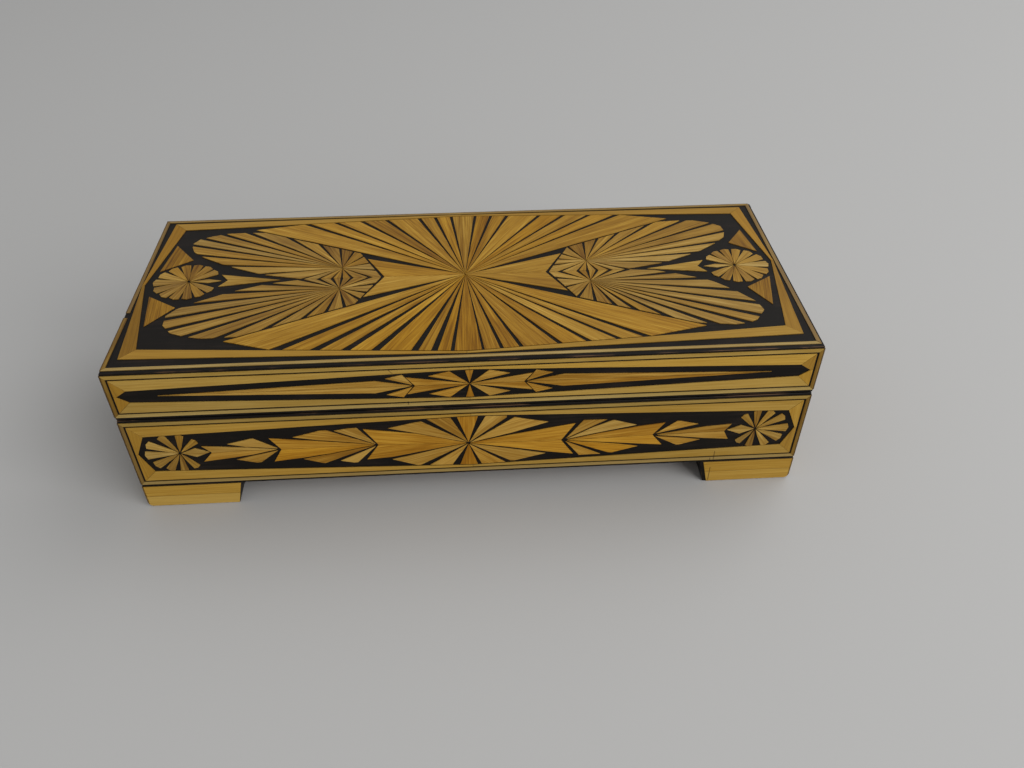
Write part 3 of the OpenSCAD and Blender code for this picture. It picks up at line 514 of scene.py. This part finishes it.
class Shader:
    """A new material's nodes, made and linked by short calls."""

    def __init__(self, name):
        self.material = bpy.data.materials.new(name)
        self.material.use_nodes = True
        self.tree = self.material.node_tree
        self.tree.nodes.clear()
        self.surface = self.new("ShaderNodeBsdfPrincipled")
        out = self.new("ShaderNodeOutputMaterial")
        self.tree.links.new(self.surface.outputs["BSDF"], out.inputs["Surface"])

    def new(self, kind, **settings):
        node = self.tree.nodes.new(kind)
        for key, value in settings.items():
            setattr(node, key, value)
        return node

    def put(self, socket, value):
        """Sets a socket to a number or colour, or links it to another node's output."""
        if isinstance(value, bpy.types.NodeSocket):
            self.tree.links.new(value, socket)
        else:
            socket.default_value = value

    def math(self, operation, a, b=0.0, c=0.0, clamp=False):
        node = self.new("ShaderNodeMath", operation=operation, use_clamp=clamp)
        for socket, value in zip(node.inputs, (a, b, c)):
            self.put(socket, value)
        return node.outputs[0]

    def scaled(self, value, factor):
        return self.math("MULTIPLY", value, factor)

    def centred(self, value, amount):
        """value - 0.5, times amount"""
        return self.math("MULTIPLY_ADD", value, amount, -0.5 * amount)

    def total(self, *values):
        found = values[0]
        for value in values[1:]:
            found = self.math("ADD", found, value)
        return found

    def less(self, a, b):
        return self.math("SUBTRACT", a, b)

    def size(self, value):
        return self.math("ABSOLUTE", value)

    def smaller(self, a, b):
        return self.math("MINIMUM", a, b)

    def largest(self, *values):
        found = values[0]
        for value in values[1:]:
            found = self.math("MAXIMUM", found, value)
        return found

    def uv(self, name):
        node = self.new("ShaderNodeSeparateXYZ")
        self.put(node.inputs[0], self.new("ShaderNodeUVMap", uv_map=name).outputs[0])
        return node.outputs[0], node.outputs[1]

    def place(self):
        """The object's own coordinates, in millimetres."""
        node = self.new("ShaderNodeSeparateXYZ")
        self.put(node.inputs[0], self.new("ShaderNodeTexCoord").outputs["Object"])
        return tuple(self.scaled(out, 1 / MM) for out in node.outputs)

    def attribute(self, name):
        return self.new("ShaderNodeAttribute", attribute_name=name).outputs["Fac"]

    def noise(self, place, waves, detail, roughness=0.5):
        """Soft noise, with so many waves for each unit of each of the three coordinates."""
        vector = self.new("ShaderNodeCombineXYZ")
        for socket, value, factor in zip(vector.inputs, place, waves):
            self.put(socket, self.scaled(value, factor))
        node = self.new("ShaderNodeTexNoise")
        for key, value in (("Vector", vector.outputs[0]), ("Scale", 1.0), ("Detail", detail),
                           ("Roughness", roughness)):
            self.put(node.inputs[key], value)
        return node.outputs["Fac"]

    def random(self, seed):
        node = self.new("ShaderNodeTexWhiteNoise", noise_dimensions="1D")
        self.put(node.inputs["W"], seed)
        return node.outputs["Value"]

    def ramp(self, factor, places, colours):
        node = self.new("ShaderNodeValToRGB")
        self.put(node.inputs[0], factor)
        elements = node.color_ramp.elements
        while len(elements) < len(places):
            elements.new(0.5)
        for element, place, colour in zip(elements, places, colours):
            element.position = place
            element.color = (*colour, 1)
        return node.outputs[0]

    def step(self, value, low, high, to_low=0.0, to_high=1.0):
        """A smooth step of value from low to high."""
        node = self.new("ShaderNodeMapRange", interpolation_type="SMOOTHSTEP")
        for key, v in (("Value", value), ("From Min", low), ("From Max", high),
                       ("To Min", to_low), ("To Max", to_high)):
            self.put(node.inputs[key], v)
        return node.outputs["Result"]

    def mix(self, factor, a, b, blend="MIX"):
        node = self.new("ShaderNodeMix", data_type="RGBA", blend_type=blend)
        self.put(node.inputs["Factor"], factor)
        for socket, value in ((node.inputs[6], a), (node.inputs[7], b)):
            self.put(socket, (*value, 1) if isinstance(value, tuple) else value)
        return node.outputs[2]

    def bump(self, height, strength, distance):
        node = self.new("ShaderNodeBump")
        for key, value in (("Height", height), ("Strength", strength), ("Distance", distance)):
            self.put(node.inputs[key], value)
        self.put(self.surface.inputs["Normal"], node.outputs[0])

    def set(self, **values):
        for key, value in values.items():
            self.put(self.surface.inputs[key.replace("_", " ")], value)


# Noises are given as waves for each millimetre in three directions, detail and roughness. On
# straw the directions are along the fibres, across them, and a seed that tells strips apart.

# Hair cracks across the straws of the front: place along the box at the lower end, from and to
# which height, and how far they lean to the left for each millimetre of height
CRACKS_MM = ((73.9, 0.6, 6.4, 0), (74.3, 9.2, 13.4, 0), (73.2, 9.4, 10.6, 0),
             (-17.6, 37.5, 38.8, 0), (-21.2, 49.3, 50.8, 0.9))
CRACK_HALF_MM = 0.08
CRACK_WANDER_MM = 0.15
CRACK_WANDER = ((1, 1, 1.5), 2)

# Dark wear beside the arrises: how far in it begins, and how far in it is full
WEAR_FROM_MM, WEAR_FULL_MM = 0.45, 0.18
WEAR_RAGGED_MM = 0.5
WEAR_RAGGED = ((0.8, 0.8, 0.8), 3)


def cracks(s):
    """Where the hair cracks run, from 0 to 1."""
    x, y, z = s.place()
    at = s.total(x, s.centred(s.noise((0.0, 0.0, z), *CRACK_WANDER), CRACK_WANDER_MM))
    found = 0.0
    for place, low, high, lean in CRACKS_MM:
        off = s.math("MULTIPLY_ADD", z, lean, -lean * low - place)
        near = s.step(s.size(s.total(at, off)), CRACK_HALF_MM, 2 * CRACK_HALF_MM, 1.0, 0.0)
        span = s.scaled(s.math("GREATER_THAN", z, low), s.math("LESS_THAN", z, high))
        found = s.largest(found, s.scaled(near, span))
    return s.scaled(found, s.math("LESS_THAN", y, -WOOD_Y / MM))


def arris_wear(s):
    """How dark the straw is beside an arris of the box, from 0 to 1."""
    x, y, z = s.place()
    off_x = s.less(s.size(x), WOOD_X / MM)
    off_y = s.less(s.size(y), WOOD_Y / MM)
    off_z = s.less(z, TOP_Z / MM)
    # The middle one of the three is the distance to the nearest arris
    second = s.largest(s.smaller(off_x, off_y), s.smaller(s.largest(off_x, off_y), off_z))
    ragged = s.centred(s.noise((x, y, z), *WEAR_RAGGED), WEAR_RAGGED_MM)
    return s.step(s.total(second, ragged), -WEAR_FROM_MM, -WEAR_FULL_MM)


# Straw colours for tones from dark to light, and the tones at which they lie
STRAW_TONES = (0.0, 0.3, 0.6, 1.0)
GOLD = ((0.080, 0.034, 0.004), (0.185, 0.099, 0.011), (0.295, 0.180, 0.028), (0.47, 0.335, 0.09))
AMBER = ((0.080, 0.030, 0.003), (0.176, 0.081, 0.007), (0.275, 0.144, 0.016),
         (0.44, 0.275, 0.055))
PALE = ((0.085, 0.039, 0.007), (0.184, 0.106, 0.020), (0.285, 0.182, 0.040), (0.48, 0.355, 0.12))
COOL_TINT = (0.94, 1.005, 1.45)
WARM_TINT = (1.085, 0.878, 0.36)
AGED_STRAW = (0.235, 0.155, 0.062)
STRAW_EDGE = (0.05, 0.026, 0.008)

FIBRE = ((0.10, 3.6, 1), 4, 0.62)
STREAK = ((0.03, 1.6, 1), 3, 0.6)
STRAW_CLOUD = ((0.05, 0.25, 1), 2)
VEIN = ((0.02, 5.5, 1), 1)
PIECE_SEED, STRIP_SEED, VEIN_SEED = 173, 7.3, 31
VEIN_FROM, VEIN_TO = 0.64, 0.72
SEAM_FROM, SEAM_TO = 0.475, 0.498        # where a seam begins, in widths from a strip's middle
# How far each of these moves the tone
FIBRE_TONE, STREAK_TONE, CLOUD_TONE, STRIP_TONE = 1.0, 0.85, 0.40, 0.12
# How strongly each of these colours the straw
AGED_SHARE, VEIN_SHARE, SEAM_SHARE = 0.6, 0.40, 0.28
SIDE_SHARE, CRACK_SHARE, WEAR_SHARE = 0.3, 0.8, 0.75
STRAW_ROUGH, STREAK_ROUGH, FIBRE_ROUGH = 0.47, 0.18, 0.14
FIBRE_HEIGHT, STREAK_HEIGHT, SEAM_HEIGHT = 0.6, 0.6, -0.8
STRAW_BUMP, STRAW_RELIEF = 0.5, 0.02 * MM


def straw_material(name, colours, contrast=1):
    """Split straw with its fibres along the piece, glossy and a little uneven."""
    s = Shader(name)
    u, v = s.uv("grain")
    strips, _ = s.uv("strip")
    warm = s.attribute("warm")
    seed = s.total(s.scaled(s.attribute("piece"), PIECE_SEED),
                   s.scaled(s.math("FLOOR", strips), STRIP_SEED))
    fibre, streak, cloud = (s.noise((u, v, seed), *kind) for kind in (FIBRE, STREAK, STRAW_CLOUD))
    vein = s.step(s.noise((u, v, s.total(seed, VEIN_SEED)), *VEIN), VEIN_FROM, VEIN_TO)
    seam = s.step(s.size(s.less(s.math("FRACT", strips), 0.5)), SEAM_FROM, SEAM_TO)
    level = s.total(s.attribute("tone"), s.centred(fibre, FIBRE_TONE * contrast),
                    s.centred(streak, STREAK_TONE * contrast),
                    s.centred(cloud, CLOUD_TONE * contrast), s.centred(s.random(seed), STRIP_TONE))
    warm_share = s.math("MULTIPLY_ADD", warm, 0.5 / WARMTH_REACH, 0.5, clamp=True)
    colour = s.mix(1.0, s.ramp(level, STRAW_TONES, colours),
                   s.mix(warm_share, COOL_TINT, WARM_TINT), blend="MULTIPLY")
    # Straws cooler than -1 have aged to grey
    aged = s.math("MULTIPLY_ADD", warm, -1, -1, clamp=True)
    dark = colours[0]
    for amount, share, paint_over in (
            (aged, AGED_SHARE, AGED_STRAW), (vein, VEIN_SHARE, dark), (seam, SEAM_SHARE, dark),
            (s.attribute("side"), SIDE_SHARE, STRAW_EDGE), (cracks(s), CRACK_SHARE, STRAW_EDGE),
            (arris_wear(s), WEAR_SHARE, STRAW_EDGE)):
        colour = s.mix(s.scaled(amount, share), colour, paint_over)
    rough = s.total(STRAW_ROUGH, s.centred(streak, STREAK_ROUGH), s.centred(fibre, FIBRE_ROUGH))
    s.set(Base_Color=colour, Roughness=rough, Specular_IOR_Level=0.11, Anisotropic=0.45)
    tangent = s.new("ShaderNodeTangent", direction_type="UV_MAP", uv_map="grain")
    s.put(s.surface.inputs["Tangent"], tangent.outputs[0])
    s.bump(s.total(s.scaled(fibre, FIBRE_HEIGHT), s.scaled(streak, STREAK_HEIGHT),
                   s.scaled(seam, SEAM_HEIGHT)), STRAW_BUMP, STRAW_RELIEF)
    return s.material


# Bare wood, and its noises with the grain first
WOOD_TONES = (0.0, 0.5, 1.0)
WOOD_COLOURS = ((0.40, 0.245, 0.115), (0.31, 0.175, 0.075), (0.19, 0.095, 0.038))
RING_BEND = ((0.006, 0.03, 0.03), 2)
PORES = ((0.12, 5, 5), 3, 0.6)
WOOD_CLOUD = ((0.02, 0.08, 0.08), 3)
RINGS_Y, RINGS_Z = 0.27, 0.33            # year rings for each millimetre
RINGS_BENT = 5.0                         # and how many of them the grain wanders over
LATE_FROM, LATE_TO = 0.45, 0.98          # the part of a ring that is dark late wood
WOOD_TONE, LATE_TONE, PORES_TONE, WOOD_CLOUD_TONE = 0.30, 0.30, 0.6, 0.8
LATE_HEIGHT = 0.5
WOOD_BUMP, WOOD_RELIEF = 0.35, 0.03 * MM

# The black stain: how far it reaches in millimetres, and how raggedly it ends
STAIN_IN_MM = 0.7        # from the outer faces and the lid's top
STAIN_RIM_MM = 0.75      # from the seam between lid and body
STAIN_HINGE_MM = 0.6     # in front of the hinges' pins, at the bevels
STAIN_BEVEL_MM = 1       # past the bevels
STAIN_FOOT_MM = 0.2      # from the underside of the walls, where it begins
STAIN_RAGGED_MM = 0.9
STAIN_RAGGED = ((0.5, 0.5, 0.5), 3)
STAIN_FROM_MM, STAIN_TO_MM = -0.05, 0.12
BLACK = (0.0068, 0.0056, 0.0045)
BLACK_THIN = (0.020, 0.014, 0.011)
RUBBED = (0.085, 0.045, 0.022)
BRUSH = ((0.05, 2.2, 2.2), 4, 0.6)
PATCH = ((0.09, 0.09, 0.09), 3)
# Thin ink, and ink rubbed off the arrises: shares of the brush marks and patches, from, to
THIN_BRUSH, THIN_PATCH, THIN_FROM, THIN_TO = 0.6, 0.5, 0.52, 0.82
RUB_BRUSH, RUB_FROM, RUB_TO = 0.35, 0.66, 0.85
INK_ROUGH, BRUSH_ROUGH = 0.36, 0.22
BRUSH_HEIGHT, GRAIN_HEIGHT = 0.7, 0.3
INK_BUMP = 0.4


def timber(s, grain):
    """Plain planed wood with its grain along the first place: colour, and height for a bump."""
    _, y, z = grain
    bend = s.scaled(s.noise(grain, *RING_BEND), RINGS_BENT)
    rings = s.math("FRACT", s.total(s.scaled(y, RINGS_Y), s.scaled(z, RINGS_Z), bend))
    late = s.step(rings, LATE_FROM, LATE_TO)
    pores = s.noise(grain, *PORES)
    level = s.total(s.scaled(late, LATE_TONE), s.centred(pores, PORES_TONE),
                    s.centred(s.noise(grain, *WOOD_CLOUD), WOOD_CLOUD_TONE), WOOD_TONE)
    return s.ramp(level, WOOD_TONES, WOOD_COLOURS), s.total(pores, s.scaled(late, LATE_HEIGHT))


def plain_wood():
    s = Shader("plain_wood")
    colour, height = timber(s, s.place())
    s.set(Base_Color=colour, Roughness=0.62, Specular_IOR_Level=0.25)
    s.bump(height, WOOD_BUMP, WOOD_RELIEF)
    return s.material


def stain(s, x, y, z):
    """Where the wood is stained black, from 0 to 1: outside, on the rims and on the bevels."""
    from_seam = s.size(s.less(z, SEAM_Z / MM))
    bevels = s.smaller(s.less(y, HINGE_Y / MM - STAIN_HINGE_MM),
                       s.less(BEVEL_DEEP / MM + STAIN_BEVEL_MM, from_seam))
    reach = s.largest(s.less(s.size(x), WOOD_X / MM - STAIN_IN_MM),
                      s.less(s.size(y), WOOD_Y / MM - STAIN_IN_MM),
                      s.less(z, LID_HIGH.z / MM - STAIN_IN_MM),
                      s.less(STAIN_RIM_MM, from_seam), bevels,
                      s.less(BODY_LOW.z / MM - STAIN_FOOT_MM, z))
    ragged = s.centred(s.noise((x, y, z), *STAIN_RAGGED), STAIN_RAGGED_MM)
    return s.step(s.total(reach, ragged), STAIN_FROM_MM, STAIN_TO_MM)


def stained_wood(name, across=False):
    """Wood with its grain along the box, or across it, stained black where it shows outside."""
    s = Shader(name)
    x, y, z = s.place()
    grain = (y, x, z) if across else (x, y, z)
    bare, height = timber(s, grain)
    brush, patch = s.noise(grain, *BRUSH), s.noise((x, y, z), *PATCH)
    thin = s.step(s.total(s.scaled(brush, THIN_BRUSH), s.scaled(patch, THIN_PATCH)),
                  THIN_FROM, THIN_TO)
    rubbed = s.scaled(s.attribute("arris"),
                      s.step(s.total(patch, s.scaled(brush, RUB_BRUSH)), RUB_FROM, RUB_TO))
    ink = s.mix(rubbed, s.mix(thin, BLACK, BLACK_THIN), RUBBED)
    s.set(Base_Color=s.mix(stain(s, x, y, z), bare, ink), Specular_IOR_Level=0.08,
          Roughness=s.math("MULTIPLY_ADD", brush, BRUSH_ROUGH, INK_ROUGH))
    s.bump(s.total(s.scaled(brush, BRUSH_HEIGHT), s.scaled(height, GRAIN_HEIGHT)),
           INK_BUMP, WOOD_RELIEF)
    return s.material


BRASS_TONES = (0.3, 0.52, 0.8)
BRASS_COLOURS = ((0.16, 0.095, 0.032), (0.42, 0.27, 0.09), (0.60, 0.42, 0.16))
TARNISH = ((0.8, 0.8, 0.8), 4, 0.6)
SCRATCH = ((0.6, 14, 14), 2)
TARNISH_TONE, SCRATCH_TONE = 0.8, 0.2
BRASS_ROUGH, TARNISH_ROUGH, SCRATCH_ROUGH = 0.14, 0.35, 0.15
BRASS_BUMP, BRASS_RELIEF = 0.25, 0.01 * MM


def brass_material():
    """Old brass, dulled in clouds and scratched along the leaves."""
    s = Shader("old_brass")
    place = s.place()
    tarnish, scratch = s.noise(place, *TARNISH), s.noise(place, *SCRATCH)
    tone = s.total(s.scaled(tarnish, TARNISH_TONE), s.scaled(scratch, SCRATCH_TONE))
    rough = s.total(s.scaled(tarnish, TARNISH_ROUGH), s.scaled(scratch, SCRATCH_ROUGH),
                    BRASS_ROUGH)
    s.set(Base_Color=s.ramp(tone, BRASS_TONES, BRASS_COLOURS), Metallic=0.92, Roughness=rough)
    s.bump(s.total(scratch, tarnish), BRASS_BUMP, BRASS_RELIEF)
    return s.material


# Dressing the nodes

# How each kind of straw node is dressed: a word in its name, its slot, how pale and how orange
# it is. The first kind that fits counts.
# The lid_, body_ and foot_facings kinds on the upright faces are painted paler than the top's
# straws: painted light that evens the upright faces with the top
STRAW_KINDS = (
    ("body_front_spray", "amber_straw", 0.62, -0.35), ("_spray", "amber_straw", 0.60, 0.0),
    ("_pieces", "gold_straw", 0.43, 0.15), ("fan", "pale_straw", 0.45, 0.15),
    ("top_rosette", "pale_straw", 0.47, 0.0), ("_rosettes", "pale_straw", 0.46, 0.05),
    ("_lines", "gold_straw", 0.47, -0.1), ("foot_facings", "gold_straw", 0.63, 0.55),
    ("lid_", "gold_straw", 0.63, 0.2), ("body_", "gold_straw", 0.62, -0.1),
    ("sunburst", "gold_straw", 0.47, 0.5), ("", "gold_straw", 0.42, -0.1))
# The top's left-hand nodes are painted darker by this tone: painted shade of light falling from the
# right
TOP_LEFT_PAINTED_SHADE = 0.06
# The long plain strips look smoother than the cut pieces of the patterns
SMOOTH_WORDS = ("foot_facings", "_border")
SMOOTH_CONTRAST = 0.4
CROSSWISE_ENDS = ("left_wall", "right_wall", "left_rail", "right_rail")


def dress_straws():
    materials = {"gold_straw": straw_material("straw_gold", GOLD),
                 "amber_straw": straw_material("straw_amber", AMBER),
                 "pale_straw": straw_material("straw_pale", PALE)}
    smooth = straw_material("straw_smooth", GOLD, SMOOTH_CONTRAST)
    for node in sorted(NODES):
        if not any(word in node for word in STRAW_WORDS):
            continue
        _, slot, tone, warmth = next(kind for kind in STRAW_KINDS if kind[0] in node)
        # Painted shade on the top's left half
        if node.startswith("top") and node.endswith("left"):
            tone -= TOP_LEFT_PAINTED_SHADE
        spread = SPRAY_SPREAD if "spray" in node else TONE_SPREAD
        straight_warmth = FRONT_WARMTH if node == "body_front_spray" else 0
        material = smooth if any(word in node for word in SMOOTH_WORDS) else materials[slot]
        straw_node(node, material, Look(tone, spread, warmth, straight_warmth))


def dress_wood():
    plain = plain_wood()
    lengthwise = stained_wood("stained_wood_x")
    crosswise = stained_wood("stained_wood_y", across=True)
    for node in sorted(NODES):
        if node == "bottom_board":
            wooden_node(node, plain)
        elif node.endswith(CROSSWISE_ENDS):
            wooden_node(node, crosswise)
        elif node.endswith(("_wall", "_rail", "_board")) or is_foot(node):
            wooden_node(node, lengthwise)


def dress_brass():
    brass = brass_material()
    for node in sorted(NODES):
        if node.startswith("hinge_"):
            NODES[node].data.materials.clear()
            NODES[node].data.materials.append(brass)


# Floor, light and camera

FLOOR_COLOUR = (0.395, 0.393, 0.388)
FLOOR_SIDE = 8.0
WORLD_COLOUR = (1.0, 1.0, 1.0, 1)
WORLD_STRENGTH = 0.52
# Square lamps, turned to the box: place, side in metres and power in watts
LAMPS = {"key": ((0.9, 0.5, 1.2), 1.2, 9.6), "fill": ((0.85, -0.8, 0.65), 1.0, 14)}
LAMPS_TARGET = Vector((0, 0, 0.03))
CAMERA_PLACE = Vector((0.175, -229.176, 205.765)) * MM
CAMERA_RIGHT = Vector((0.99809416, -0.06170837, 0.00034203))
CAMERA_UP = Vector((0.03989429, 0.64947387, 0.75933664))
CAMERA_BACK = Vector((-0.04707957, -0.75787583, 0.65069789))
FOCAL_PX = 884.63
IMAGE_WIDTH_PX = 1024
SENSOR_MM = 36
CLIP_START = 0.01


def floor_material():
    s = Shader("pale_floor")
    s.set(Base_Color=(*FLOOR_COLOUR, 1), Roughness=0.9, Specular_IOR_Level=0.1)
    return s.material


def make_floor():
    half = FLOOR_SIDE / 2
    mesh = bpy.data.meshes.new("floor")
    mesh.from_pydata([(-half, -half, 0), (half, -half, 0), (half, half, 0), (-half, half, 0)],
                     [], [(0, 1, 2, 3)])
    mesh.materials.append(floor_material())
    floor = bpy.data.objects.new("floor", mesh)
    bpy.context.scene.collection.objects.link(floor)


def make_lamp(name, place, side, power):
    data = bpy.data.lights.new(name, "AREA")
    data.shape = "SQUARE"
    data.size = side
    data.energy = power
    lamp = bpy.data.objects.new(name, data)
    lamp.location = place
    lamp.rotation_euler = (LAMPS_TARGET - Vector(place)).to_track_quat("-Z", "Y").to_euler()
    bpy.context.scene.collection.objects.link(lamp)


def make_light():
    world = bpy.data.worlds.new("soft_room")
    world.use_nodes = True
    back = world.node_tree.nodes["Background"]
    back.inputs["Color"].default_value = WORLD_COLOUR
    back.inputs["Strength"].default_value = WORLD_STRENGTH
    bpy.context.scene.world = world
    for name, lamp in LAMPS.items():
        make_lamp(name, *lamp)


def make_camera():
    data = bpy.data.cameras.new("camera")
    data.sensor_width = SENSOR_MM
    data.lens = FOCAL_PX / IMAGE_WIDTH_PX * SENSOR_MM
    data.clip_start = CLIP_START
    camera = bpy.data.objects.new("camera", data)
    turn = Matrix((CAMERA_RIGHT, CAMERA_UP, CAMERA_BACK)).transposed()
    camera.matrix_world = Matrix.Translation(CAMERA_PLACE) @ turn.to_4x4()
    bpy.context.scene.collection.objects.link(camera)
    bpy.context.scene.camera = camera


dress_straws()
dress_wood()
dress_brass()
make_floor()
make_light()
make_camera()
bpy.context.scene.view_settings.view_transform = "Standard"
